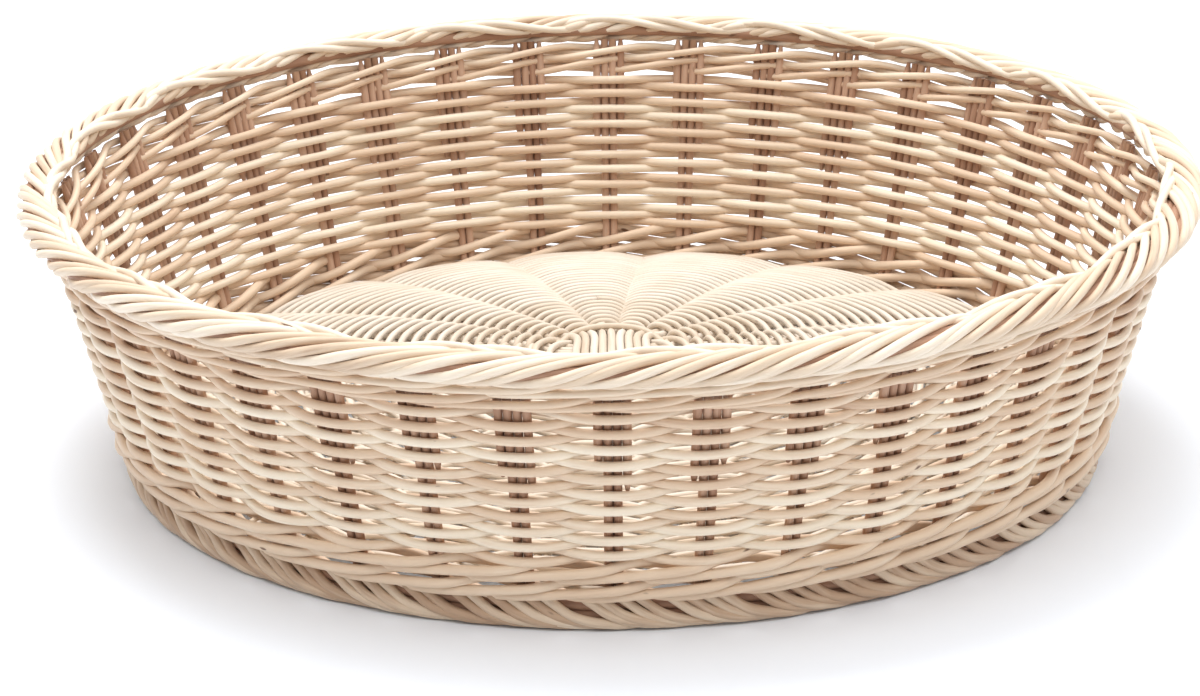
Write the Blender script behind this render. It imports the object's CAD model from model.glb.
import math

import bpy
import numpy as np
from mathutils import Matrix, Vector


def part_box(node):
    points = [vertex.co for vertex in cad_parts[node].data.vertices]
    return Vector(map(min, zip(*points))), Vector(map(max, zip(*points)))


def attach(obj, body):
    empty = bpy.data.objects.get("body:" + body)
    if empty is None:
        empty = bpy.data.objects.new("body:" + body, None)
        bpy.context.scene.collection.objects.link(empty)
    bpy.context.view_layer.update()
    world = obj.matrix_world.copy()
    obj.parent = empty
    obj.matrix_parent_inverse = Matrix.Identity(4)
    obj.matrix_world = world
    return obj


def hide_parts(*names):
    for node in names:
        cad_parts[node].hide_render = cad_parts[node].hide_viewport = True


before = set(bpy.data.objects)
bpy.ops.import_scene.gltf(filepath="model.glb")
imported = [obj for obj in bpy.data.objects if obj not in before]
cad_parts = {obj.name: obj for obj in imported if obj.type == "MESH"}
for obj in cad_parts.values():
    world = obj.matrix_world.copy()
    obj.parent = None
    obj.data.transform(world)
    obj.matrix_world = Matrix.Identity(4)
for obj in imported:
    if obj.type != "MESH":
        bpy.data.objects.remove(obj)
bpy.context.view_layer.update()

# ---------------------------------------------------------------- sizes, in metres
MM = 0.001
BUNDLES = 38
STAKE_D = 4.0 * MM
CAD_WEAVER_D = 3.75 * MM
# Thicker than in the CAD, so that the rows close up as they do on the real basket.
WEAVER_D = 4.4 * MM
FLOOR_WEAVER_D = 3.2 * MM
RIM_CANE_D = 4.05 * MM
FOOT_CANE_D = 4.6 * MM
BOTTOM_WALE_PITCH = 8.8 * MM
TOP_WALE_PITCH = 6.6 * MM
STEP = 2 * math.pi / BUNDLES  # from one bundle of stakes to the next
BUNDLE_0 = math.pi / 2  # the bundle in the middle of the back

rng = np.random.default_rng(38)


def ring_of(node, cane_d):
    """Centre radius and height of a plain CAD ring."""
    low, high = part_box(node)
    return high.x - cane_d / 2, (low.z + high.z) / 2


ROW_NODES = sorted(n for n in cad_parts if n.startswith("wall_row_"))
BOTTOM_WALES = sorted(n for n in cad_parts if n.startswith("bottom_wale_"))
TOP_WALES = sorted(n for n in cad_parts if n.startswith("top_wale_"))

low_r, low_z = ring_of(ROW_NODES[0], CAD_WEAVER_D)
high_r, high_z = ring_of(ROW_NODES[-2], CAD_WEAVER_D)
SLOPE = (high_r - low_r) / (high_z - low_z)
LEAN = math.atan(SLOPE)
WEAVE_DEPTH = (STAKE_D + CAD_WEAVER_D) / 2


def stake_r(z):
    """Radius of the stake circle at height z."""
    return low_r - WEAVE_DEPTH / math.cos(LEAN) + SLOPE * (z - low_z)


rim_low, rim_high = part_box("rim_border")
foot_low, foot_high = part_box("foot_border")
TOP = rim_high.z
RIM_R = rim_high.x
RIM_H = rim_high.z - rim_low.z
RIM_W = 21 * MM
FOOT_R = foot_high.x
FOOT_H = foot_high.z

ribs_low, ribs_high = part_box("floor_ribs")
FLOOR_R = ribs_high.y
FLOOR_EDGE_Z = ribs_low.z + STAKE_D / 2
FLOOR_TOP_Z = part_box("floor_cross_over")[1].z - 1.5 * STAKE_D
WEAVE_START_R = 38 * MM
FLOOR_PITCH = 3.3 * MM
INNER_ROUNDS = 14
FLOOR_ROUNDS = math.ceil((FLOOR_R - FLOOR_WEAVER_D / 2 - WEAVE_START_R) / FLOOR_PITCH)
RIB_OFFSET = 2.03 * MM  # of each stick from the middle of its double rib


def dome_z(r):
    """Height of the crowned floor's sticks at radius r."""
    return FLOOR_TOP_Z - (FLOOR_TOP_Z - FLOOR_EDGE_Z) * (r / FLOOR_R) ** 2


# ---------------------------------------------------------------- small helpers
def polar(theta, r, z):
    """Points from cylindrical coordinates about the basket's axis."""
    theta, r, z = np.broadcast_arrays(theta, r, z)
    return np.stack([r * np.cos(theta), r * np.sin(theta), z], axis=-1)


def stake_angle(k):
    return BUNDLE_0 + k * STEP


def wall_point(theta, z, depth):
    """A point depth outside the stakes, nearly square to the leaning wall."""
    drop = 0.85 * depth * math.sin(LEAN)
    return polar(theta, stake_r(z) + depth * math.cos(LEAN), z - drop)


def flat_wave(phase, sharp):
    """A cosine with flattened crests, from -1 to 1."""
    return np.tanh(sharp * np.cos(phase)) / math.tanh(sharp)


def ripple(theta, size, low=2, high=12, waves=7):
    """A smooth random wander that closes after one turn."""
    total = np.zeros_like(theta)
    for _ in range(waves):
        total += np.sin(rng.integers(low, high) * theta + rng.uniform(0, 2 * math.pi))
    return size * total / math.sqrt(waves)


def jitter(count, size):
    """Random offsets, none more than twice size."""
    return rng.normal(0, size, count).clip(-2 * size, 2 * size)


def smooth_path(controls, steps):
    """A Catmull-Rom curve through the control points."""
    c = np.asarray(controls, float)
    c = np.vstack([2 * c[0] - c[1], c, 2 * c[-1] - c[-2]])
    t = np.linspace(0, 1, steps, endpoint=False)[:, None]
    spans = []
    for a, b, d, e in zip(c[:-3], c[1:-2], c[2:-1], c[3:]):
        spans.append(0.5 * (2 * b + (d - a) * t + (2 * a - 5 * b + 4 * d - e) * t ** 2
                            + (3 * b - a - 3 * d + e) * t ** 3))
    return np.vstack(spans + [c[-2][None]])


# ---------------------------------------------------------------- canes
class Canes:
    """Round canes swept along paths, gathered into one mesh object."""

    def __init__(self, name):
        self.name = name
        self.verts, self.quads, self.caps = [], [], []
        self.uvs, self.tones = [], []
        self.count = 0

    def add(self, path, diameter, lean_to=(0, 0, 1), closed=False, sides=8,
            taper=0.0, tone=None):
        """One cane along path, a little uneven in thickness. lean_to fixes
        where its seam lies, and tone makes it darker or lighter."""
        path = np.asarray(path, float)
        n = len(path)
        if closed:
            tangent = np.roll(path, -1, 0) - np.roll(path, 1, 0)
        else:
            tangent = np.gradient(path, axis=0)
        tangent /= np.linalg.norm(tangent, axis=1)[:, None]
        normal = np.broadcast_to(np.asarray(lean_to, float), path.shape)
        normal = normal - (normal * tangent).sum(1)[:, None] * tangent
        normal = normal / np.linalg.norm(normal, axis=1)[:, None]
        side = np.cross(tangent, normal)
        uneven = 0.03 * np.sin(np.arange(n) * 0.37 + rng.uniform(0, 6))
        radius = np.full(n, diameter / 2) * (1 + uneven)
        if taper and not closed:
            reach = np.minimum(np.arange(n), np.arange(n)[::-1])
            radius = radius * np.clip(0.45 + 0.55 * reach / (taper * n), 0, 1)
        around = np.arange(sides) * 2 * math.pi / sides
        ring = (np.cos(around)[None, :, None] * normal[:, None]
                + np.sin(around)[None, :, None] * side[:, None])
        verts = path[:, None] + radius[:, None, None] * ring
        last = n if closed else n - 1
        i = np.arange(last)[:, None]
        j = np.arange(sides)[None, :]
        i2 = (i + 1) % n
        j2 = (j + 1) % sides
        corners = [i * sides + j, i2 * sides + j, i2 * sides + j2, i * sides + j2]
        quads = np.stack([np.broadcast_to(c, (last, sides)) for c in corners], -1).reshape(-1, 4)
        hops = np.linalg.norm(np.diff(path, axis=0, append=path[:1]), axis=1)
        along = np.concatenate([[0], np.cumsum(hops)])[:last + 1] + rng.uniform(0, 40)
        u0, u1 = along[:last, None], along[1:last + 1, None]
        v0, v1 = j / sides, (j + 1) / sides
        uv = [(u0, v0), (u1, v0), (u1, v1), (u0, v1)]
        uv = np.stack([np.stack(np.broadcast_arrays(u, v), -1) for u, v in uv], 2)
        self.verts.append(verts.reshape(-1, 3))
        self.quads.append(quads + self.count)
        self.uvs.append(uv.reshape(-1, 2))
        tone = rng.uniform(0, 1) if tone is None else tone
        self.tones.append(np.full(n * sides, tone))
        if not closed:
            self.caps.append(self.count + np.arange(sides)[::-1])
            self.caps.append(self.count + (n - 1) * sides + np.arange(sides))
        self.count += n * sides

    def build(self, material, replaces=()):
        """Makes the mesh object and fixes it to the basket."""
        verts = np.vstack(self.verts)
        quads = np.vstack(self.quads)
        loops = [quads.ravel()] + self.caps
        sizes = [np.full(len(quads), 4)] + [np.array([len(c)]) for c in self.caps]
        cap_uv = [np.stack([np.zeros(len(c)), np.linspace(0, 1, len(c))], -1) for c in self.caps]
        loops, sizes = np.concatenate(loops), np.concatenate(sizes)
        uv = np.vstack(self.uvs + cap_uv)
        mesh = bpy.data.meshes.new(self.name)
        mesh.vertices.add(len(verts))
        mesh.vertices.foreach_set("co", verts.astype(np.float32).ravel())
        mesh.loops.add(len(loops))
        mesh.loops.foreach_set("vertex_index", loops.astype(np.int32))
        mesh.polygons.add(len(sizes))
        starts = np.concatenate([[0], np.cumsum(sizes)[:-1]])
        mesh.polygons.foreach_set("loop_start", starts.astype(np.int32))
        mesh.polygons.foreach_set("loop_total", sizes.astype(np.int32))
        mesh.update(calc_edges=True)
        mesh.shade_smooth()
        layer = mesh.uv_layers.new(name="cane")
        layer.data.foreach_set("uv", uv.astype(np.float32).ravel())
        tone = mesh.attributes.new("tone", "FLOAT", "POINT")
        tone.data.foreach_set("value", np.concatenate(self.tones).astype(np.float32))
        mesh.materials.append(material)
        piece = bpy.data.objects.new(self.name, mesh)
        bpy.context.scene.collection.objects.link(piece)
        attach(piece, "root")
        if replaces:
            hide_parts(*replaces)
        return piece


# ---------------------------------------------------------------- materials
def srgb(r, g, b):
    """An sRGB colour, 0 to 255, as linear RGBA."""
    def linear(c):
        return c / 12.92 if c <= 0.04045 else ((c + 0.055) / 1.055) ** 2.4

    return (linear(r / 255), linear(g / 255), linear(b / 255), 1.0)


def cane_material(name, dark, mid, light, roughness=0.5):
    """Peeled round cane: fine fibres along its length, a tone for each cane,
    slow stains, and a few dark nicks where side shoots were trimmed."""
    material = bpy.data.materials.new(name)
    material.use_nodes = True
    tree = material.node_tree
    tree.nodes.clear()
    new, link = tree.nodes.new, tree.links.new

    def weighted(value, weight, rest=None):
        """value times weight, plus the rest."""
        node = new("ShaderNodeMath")
        node.operation = "MULTIPLY" if rest is None else "MULTIPLY_ADD"
        link(value, node.inputs[0])
        node.inputs[1].default_value = weight
        if rest is not None:
            link(rest, node.inputs[2])
        return node.outputs[0]

    def noise(vector, scale, detail=3.0):
        node = new("ShaderNodeTexNoise")
        node.inputs["Scale"].default_value = scale
        node.inputs["Detail"].default_value = detail
        link(vector, node.inputs["Vector"])
        return node.outputs["Fac"]

    def stretched(scale):
        node = new("ShaderNodeMapping")
        node.inputs["Scale"].default_value = scale
        link(uv.outputs["UV"], node.inputs["Vector"])
        return node.outputs["Vector"]

    uv = new("ShaderNodeUVMap")
    uv.uv_map = "cane"
    place = new("ShaderNodeTexCoord")
    tone = new("ShaderNodeAttribute")
    tone.attribute_name = "tone"

    fibres = noise(stretched((45, 9, 1)), 1.0, 4.0)
    blotches = noise(stretched((22, 1.2, 1)), 1.0)
    stains = noise(place.outputs["Object"], 26.0)
    shade = weighted(tone.outputs["Fac"], 0.40)
    shade = weighted(fibres, 0.34, shade)
    shade = weighted(blotches, 0.34, shade)
    shade = weighted(stains, 0.26, shade)

    ramp = new("ShaderNodeValToRGB")
    ramp.color_ramp.interpolation = "EASE"
    stops = ramp.color_ramp.elements
    stops[0].position, stops[0].color = 0.30, dark
    stops[1].position, stops[1].color = 0.86, light
    middle = stops.new(0.55)
    middle.color = mid
    link(shade, ramp.inputs["Fac"])

    nick_field = noise(stretched((55, 2.2, 1)), 1.0, 2.0)
    nicks = new("ShaderNodeMapRange")
    nicks.inputs["From Min"].default_value = 0.735
    nicks.inputs["From Max"].default_value = 0.78
    link(nick_field, nicks.inputs["Value"])
    scar = new("ShaderNodeMix")
    scar.data_type = "RGBA"
    scar.inputs["B"].default_value = srgb(120, 88, 66)
    link(nicks.outputs["Result"], scar.inputs["Factor"])
    link(ramp.outputs["Color"], scar.inputs["A"])

    bump = new("ShaderNodeBump")
    bump.inputs["Strength"].default_value = 0.25
    bump.inputs["Distance"].default_value = 0.0003
    link(fibres, bump.inputs["Height"])

    rough = new("ShaderNodeMapRange")
    rough.inputs["To Min"].default_value = roughness - 0.10
    rough.inputs["To Max"].default_value = roughness + 0.12
    link(fibres, rough.inputs["Value"])

    shader = new("ShaderNodeBsdfPrincipled")
    shader.inputs["Specular IOR Level"].default_value = 0.42
    shader.inputs["Sheen Weight"].default_value = 0.08
    shader.inputs["Sheen Roughness"].default_value = 0.5
    link(scar.outputs["Result"], shader.inputs["Base Color"])
    link(rough.outputs["Result"], shader.inputs["Roughness"])
    link(bump.outputs["Normal"], shader.inputs["Normal"])
    out = new("ShaderNodeOutputMaterial")
    link(shader.outputs["BSDF"], out.inputs["Surface"])
    return material


STAKE_CANE = cane_material(
    "stake_cane", srgb(148, 108, 86), srgb(178, 138, 112), srgb(204, 168, 142), 0.6)
WEAVER_CANE = cane_material(
    "weaver_cane", srgb(196, 160, 131), srgb(225, 198, 170), srgb(243, 227, 204))
FLOOR_CANE = cane_material(
    "floor_cane", srgb(184, 158, 132), srgb(208, 190, 168), srgb(224, 212, 197))
BORDER_CANE = cane_material(
    "border_cane", srgb(190, 158, 130), srgb(221, 198, 172), srgb(240, 225, 205))


# ---------------------------------------------------------------- camera
def camera():
    """Looks down at the basket's front from a long way off, slightly tilted."""
    distance = 2.095
    elevation = math.radians(19.55)
    target = Vector((0.0, 0.0, 0.047))
    direction = Vector((0, -math.cos(elevation), math.sin(elevation)))
    turn = (-direction).to_track_quat("-Z", "Y").to_matrix().to_4x4()
    roll = Matrix.Rotation(math.radians(-0.6), 4, "Z")
    pan = Matrix.Rotation(math.radians(0.15), 4, "Y")
    data = bpy.data.cameras.new("camera")
    data.sensor_width = 36
    data.lens = 133
    holder = bpy.data.objects.new("camera", data)
    holder.matrix_world = Matrix.Translation(target + direction * distance) @ turn @ pan @ roll
    bpy.context.scene.collection.objects.link(holder)
    bpy.context.scene.camera = holder


# ---------------------------------------------------------------- wall
def middle_z(*nodes):
    """Mean height of the middles of the nodes."""
    return sum(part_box(n)[0].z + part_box(n)[1].z for n in nodes) / (2 * len(nodes))


def wall_row(node, index):
    """One weaver round the wall, outside one bundle and inside the next."""
    x = np.arange(BUNDLES * 14) / 14
    theta = stake_angle(x)
    lift = np.interp(x, np.arange(BUNDLES), jitter(BUNDLES, 0.24 * MM), period=BUNDLES)
    height = middle_z(node) + ripple(theta, 0.18 * MM) + lift
    depth = WEAVE_DEPTH * flat_wave(math.pi * (x + index), 0.8)
    depth = depth * (1.02 + ripple(theta, 0.05, 5, 30))
    canes = Canes(node.replace("row", "weaver"))
    canes.add(wall_point(theta, height, depth), WEAVER_D, closed=True)
    canes.build(WEAVER_CANE, [node])


def wale(nodes, pitch, cane_d, shift):
    """Three canes twisted round the stakes: each rises past two bundles
    outside, then drops back inside one. They close after three turns."""
    x = np.arange(3 * BUNDLES * 14) / 14
    theta = stake_angle(x)
    p = (x + shift + 0.5) % 3 - 0.5
    out = np.interp(p, [-0.5, -0.2, 0, 1, 1.2, 1.5, 1.8, 2, 2.2, 2.5],
                    [0, 0.7, 0.9, 1.4, 1.2, 0, -0.85, -1, -0.85, 0])
    lift = np.interp(p, [-0.5, 1.5, 2.5], [-1, 1, -1])
    for _ in range(3):
        out = (np.roll(out, 1) + 2 * out + np.roll(out, -1)) / 4
        lift = (np.roll(lift, 1) + lift + np.roll(lift, -1)) / 3
    height = middle_z(*nodes[:2]) + 0.5 * pitch * lift + ripple(theta, 0.3 * MM)
    depth = WEAVE_DEPTH * out * (1.04 + ripple(theta, 0.05, 5, 30))
    canes = Canes(nodes[0].replace("wale", "waling"))
    canes.add(wall_point(theta, height, depth), cane_d, closed=True)
    canes.build(WEAVER_CANE, nodes)


def waling():
    """Two rows of waling at the foot and two, finer, under the rim."""
    rows = [BOTTOM_WALES[:3], BOTTOM_WALES[3:], TOP_WALES[:3], TOP_WALES[3:]]
    pitches = [BOTTOM_WALE_PITCH] * 2 + [TOP_WALE_PITCH] * 2
    for i, (nodes, pitch) in enumerate(zip(rows, pitches)):
        wale(nodes, pitch, 0.55 * pitch, 1.3 * i)


def upright(canes, k, offset, z0, z1, taper=0.0):
    """A leaning stake of bundle k, offset sideways from its middle."""
    z = np.linspace(z0, z1, 12)
    theta = stake_angle(k)
    sway = offset + np.linspace(*jitter(2, 0.12 * MM), 12)
    r = stake_r(z) + jitter(12, 0.05 * MM)
    path = polar(theta, r, z) + sway[:, None] * np.array([-math.sin(theta), math.cos(theta), 0])
    canes.add(path, STAKE_D, lean_to=(math.cos(theta), math.sin(theta), 0), taper=taper)


def side_stakes():
    """The pairs of uprights, from the foot into the rim."""
    canes = Canes("side_stake_canes")
    for k in range(BUNDLES):
        for side in (-0.5, 0.5):
            upright(canes, k, side * 1.02 * STAKE_D, FOOT_H, TOP - 0.8 * RIM_H)
    canes.build(STAKE_CANE, ["side_stakes"])


def bye_stakes():
    """The shorter uprights, one at each side of a pair."""
    start_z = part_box("bye_stakes")[0].z
    canes = Canes("bye_stake_canes")
    for k in range(BUNDLES):
        for side in (-1.5, 1.5):
            start = start_z + rng.uniform(-9, 6) * MM
            upright(canes, k, side * 1.02 * STAKE_D, start, TOP - 0.8 * RIM_H, taper=0.1)
    canes.build(STAKE_CANE, ["bye_stakes"])


# ---------------------------------------------------------------- rim
def rim_strands():
    """Long canes that wind from under the rim, over the top and inside."""
    canes = Canes("rim_strands")
    a, b = (RIM_W - RIM_CANE_D) / 2, (RIM_H - RIM_CANE_D) / 2
    centre_r, centre_z = RIM_R - RIM_W / 2, TOP - RIM_H / 2
    turn = np.radians(np.linspace(-140, 185, 200))
    hops = np.hypot(*(np.diff([a * np.cos(turn), b * np.sin(turn)])))
    arc = np.concatenate([[0], np.cumsum(hops)])
    count = 3 * BUNDLES
    for i in range(count):
        s = np.linspace(0, 1, 34)
        phi = np.interp(s * arc[-1], arc, turn)
        sweep = (2.7 + jitter(1, 0.08)[0]) * STEP
        theta = stake_angle(i / 3) + jitter(1, 0.05)[0] * STEP + sweep * s
        tuck = 1 - 0.35 * np.clip((s - 0.86) / 0.14, 0, 1) - 0.3 * np.clip((0.1 - s) / 0.1, 0, 1)
        swell = 1 + jitter(1, 0.03)[0]
        r = centre_r + swell * tuck * a * np.cos(phi)
        z = centre_z + tuck * b * np.sin(phi)
        outward = polar(theta, np.cos(phi), np.sin(phi))
        canes.add(polar(theta, r, z), RIM_CANE_D * (1 + jitter(1, 0.05)[0]),
                  lean_to=outward, taper=0.06)
    canes.build(BORDER_CANE, ["rim_border"])


def rim_rope():
    """Four canes twined loosely along the rim's inner top edge, drawn as
    two that each run round twice before they close."""
    canes = Canes("rim_rope")
    x = np.arange(2 * BUNDLES * 12) / 12
    theta = stake_angle(x)
    centre_r = RIM_R - RIM_W + 4.4 * MM
    centre_z = TOP - 3.4 * MM
    for start in (0, math.pi / 2):
        spin = -math.pi * x + start
        twist = 2.6 * MM * (1 + ripple(theta / 2, 0.06, 5, 30))
        r = centre_r + 0.8 * twist * np.cos(spin)
        z = centre_z + twist * np.sin(spin)
        canes.add(polar(theta, r, z), 3.9 * MM, closed=True)
    canes.build(BORDER_CANE)


def rim_core():
    """The turned-down stake ends hidden inside the rim."""
    canes = Canes("rim_core")
    theta = np.linspace(0, 2 * math.pi, 240, endpoint=False)
    for dr, dz in ((-4.2, 0), (0, 0.6), (4.2, 0)):
        path = polar(theta, RIM_R - RIM_W / 2 + dr * MM, TOP - RIM_H / 2 + dz * MM)
        canes.add(path, 6.4 * MM, closed=True, tone=0.0)
    canes.build(STAKE_CANE)


# ---------------------------------------------------------------- foot
def foot_strands():
    """Pairs of stake ends turned down round the foot, leaning the other way."""
    canes = Canes("foot_strands")
    half = FOOT_CANE_D / 2
    x = np.array([0.0, 0.16, 0.40, 0.74, 1.1, 1.5])
    r = np.array([stake_r(FOOT_H) + 1.6 * MM, FOOT_R - half - 0.9 * MM, FOOT_R - half,
                  FOOT_R - half - 0.7 * MM, FOOT_R - 5.2 * MM, FOOT_R - 8.4 * MM])
    z = np.array([FOOT_H + 3.0 * MM, 0.84 * FOOT_H, 0.44 * FOOT_H,
                  half + 0.8 * MM, half, half + 3 * MM])
    for pair in range(2 * BUNDLES):
        start = pair / 2 + jitter(1, 0.035)[0]
        for cane in (0, 1):
            theta = stake_angle(x + start + 0.2 * cane + jitter(1, 0.012)[0])
            path = smooth_path(polar(theta, r + jitter(1, 0.3 * MM)[0], z), 7)
            canes.add(path, FOOT_CANE_D * (1 + jitter(1, 0.05)[0]),
                      taper=0.08, tone=rng.uniform(-0.5, 0.25))
    canes.build(BORDER_CANE, ["foot_border"])


def foot_core():
    """The stakes' bends inside the foot."""
    canes = Canes("foot_core")
    theta = np.linspace(0, 2 * math.pi, 240, endpoint=False)
    for height in (0.38, 0.72):
        path = polar(theta, FOOT_R - 6.6 * MM, height * FOOT_H)
        canes.add(path, 0.36 * FOOT_H, closed=True, tone=0.0)
    canes.build(STAKE_CANE)


# ---------------------------------------------------------------- floor
def to_rib(k):
    """Which side of stake k its double rib lies on: 1 for the next angle up."""
    return 1 if k % 2 == 0 else -1


def rib_point(k, r):
    """A point at radius r on the rib that runs to stake k."""
    angle = stake_angle(k + to_rib(k) / 2)
    side = -to_rib(k) * RIB_OFFSET
    point = polar(angle, r, dome_z(r))
    return point + side * np.array([-math.sin(angle), math.cos(angle), 0])


def floor_stick(canes, place, a, b, level):
    """One stick right across the floor, from the rib of stake a to that of b."""
    spacing = STAKE_D + 0.2 * MM
    turn = abs(place) * STEP
    elbow_r = 27 * MM if place == 0 else spacing * abs(place) / math.sin(turn)
    middle = [polar(stake_angle(k), elbow_r, FLOOR_TOP_Z + level) for k in (a, b)]
    half = 0.5 * (middle[0] + middle[1])
    outer = [FLOOR_R - 1 * MM, 0.8 * FLOOR_R, 0.6 * FLOOR_R,
             0.4 * FLOOR_R, 0.25 * FLOOR_R, 41 * MM]
    controls = [rib_point(a, r) for r in outer] + [middle[0], half, middle[1]]
    controls += [rib_point(b, r) for r in outer[::-1]]
    canes.add(smooth_path(controls, 6), STAKE_D)


def floor_cross():
    """Nine sticks laid over ten, so that 38 ends reach the 38 bundles."""
    over = Canes("floor_sticks_over")
    for place in range(-4, 5):
        floor_stick(over, place, place, BUNDLES // 2 - place, 0.5 * STAKE_D)
    over.build(FLOOR_CANE, ["floor_cross_over", "floor_ribs"])
    under = Canes("floor_sticks_under")
    for i in range(10):
        place = i - 4.5
        a, b = round(place - BUNDLES / 4), round(BUNDLES / 4 - place)
        floor_stick(under, place, a, b, -0.5 * STAKE_D)
    under.build(FLOOR_CANE, ["floor_cross_under"])


def floor_tails():
    """The side stakes' inner ends, spreading from a rib to their bundle."""
    canes = Canes("floor_tails")
    for k in range(BUNDLES):
        angle = stake_angle(k + to_rib(k) / 2)
        across = -to_rib(k) * np.array([-math.sin(angle), math.cos(angle), 0])
        for i in (-0.5, 0.5):
            r = np.linspace(150 * MM, FLOOR_R + 3 * MM, 7)
            edge = FLOOR_R * math.sin(STEP / 2)
            start = 2 * RIB_OFFSET + STAKE_D * 1.03
            spread = ((r - r[0]) / (r[-1] - r[0])) ** 1.2
            side = start + (edge - start) * spread + i * STAKE_D * 1.03
            path = polar(angle, r, dome_z(r)) + side[:, None] * across
            canes.add(path, STAKE_D, taper=0.1)
    canes.build(FLOOR_CANE, ["floor_stake_tails"])


def first_rounds():
    """Three rounds that tie the crossed groups of sticks together."""
    canes = Canes("floor_first_rounds")
    theta = np.linspace(0, 2 * math.pi, 180, endpoint=False)
    for r, lift in ((29.5, 2.2), (33.2, -4.4), (36.4, 3.6)):
        wave = lift * MM * flat_wave(2 * theta, 1.6)
        canes.add(polar(theta, r * MM, dome_z(r * MM) + wave), FLOOR_WEAVER_D, closed=True)
    canes.build(FLOOR_CANE)


def floor_weave(name, first, last, nodes):
    """A spiral of fine cane over one double rib and under the next. There
    are an odd number of double ribs, so each round changes sides."""
    ribs = BUNDLES // 2
    x = np.arange(first * ribs * 12, last * ribs * 12 + 1) / 12
    theta = stake_angle(0.5) + x * 2 * STEP
    r = WEAVE_START_R + FLOOR_PITCH * x / ribs
    lift = (STAKE_D + FLOOR_WEAVER_D) / 2 * flat_wave(math.pi * x, 1.5)
    wander = np.interp(x, np.arange(int(x[0]) - 1, int(x[-1]) + 3),
                       jitter(int(x[-1]) + 4 - int(x[0]), 0.16 * MM))
    canes = Canes(name)
    canes.add(polar(theta, r + wander, dome_z(r) + lift), FLOOR_WEAVER_D, sides=6)
    canes.build(FLOOR_CANE, nodes)


# ---------------------------------------------------------------- stage
def stage():
    """A pale floor, a bright room, a soft key light above and a little
    behind, and a weaker fill in front."""
    bpy.ops.mesh.primitive_plane_add(size=14, location=(0, 0, -0.0004))
    floor = bpy.context.object
    floor.name = "studio_floor"
    material = bpy.data.materials.new("studio_floor")
    material.use_nodes = True
    shader = material.node_tree.nodes["Principled BSDF"]
    shader.inputs["Base Color"].default_value = (0.88, 0.93, 1.0, 1)
    shader.inputs["Roughness"].default_value = 0.7
    floor.data.materials.append(material)
    world = bpy.data.worlds.new("world")
    bpy.context.scene.world = world
    world.use_nodes = True
    soft_sky(world.node_tree)
    area_light("key", (-0.25, 0.6, 2.2), 1.4, 34)
    area_light("fill", (0.2, -1.3, 2.2), 1.6, 12)
    bpy.context.scene.view_settings.view_transform = "Standard"


def soft_sky(tree):
    """White all round, brightest overhead."""
    place = tree.nodes.new("ShaderNodeTexCoord")
    toward = tree.nodes.new("ShaderNodeVectorMath")
    toward.operation = "DOT_PRODUCT"
    toward.inputs[1].default_value = (0.05, 0.2, 0.95)
    ramp = tree.nodes.new("ShaderNodeMapRange")
    ramp.inputs["From Min"].default_value = -0.2
    ramp.inputs["From Max"].default_value = 0.9
    ramp.inputs["To Min"].default_value = 0.12
    ramp.inputs["To Max"].default_value = 1.42
    sky = tree.nodes["Background"]
    sky.inputs["Color"].default_value = (1, 1, 1, 1)
    tree.links.new(place.outputs["Generated"], toward.inputs[0])
    tree.links.new(toward.outputs["Value"], ramp.inputs["Value"])
    tree.links.new(ramp.outputs["Result"], sky.inputs["Strength"])


def area_light(name, place, size, power):
    """A square lamp at place, turned to the middle of the ground."""
    data = bpy.data.lights.new(name, "AREA")
    data.size = size
    data.energy = power
    lamp = bpy.data.objects.new(name, data)
    lamp.location = place
    lamp.rotation_euler = (-Vector(place)).to_track_quat("-Z", "Y").to_euler()
    bpy.context.scene.collection.objects.link(lamp)


# ---------------------------------------------------------------- the basket
camera()
for index, node in enumerate(ROW_NODES):
    wall_row(node, index)
waling()
side_stakes()
bye_stakes()
rim_core()
rim_strands()
rim_rope()
foot_core()
foot_strands()
floor_cross()
floor_tails()
first_rounds()
floor_weave("floor_weave_inner", 0, INNER_ROUNDS,
            ["floor_weave_inner_over", "floor_weave_inner_under"])
floor_weave("floor_weave_outer", INNER_ROUNDS, FLOOR_ROUNDS,
            ["floor_weave_outer_over", "floor_weave_outer_under"])
stage()
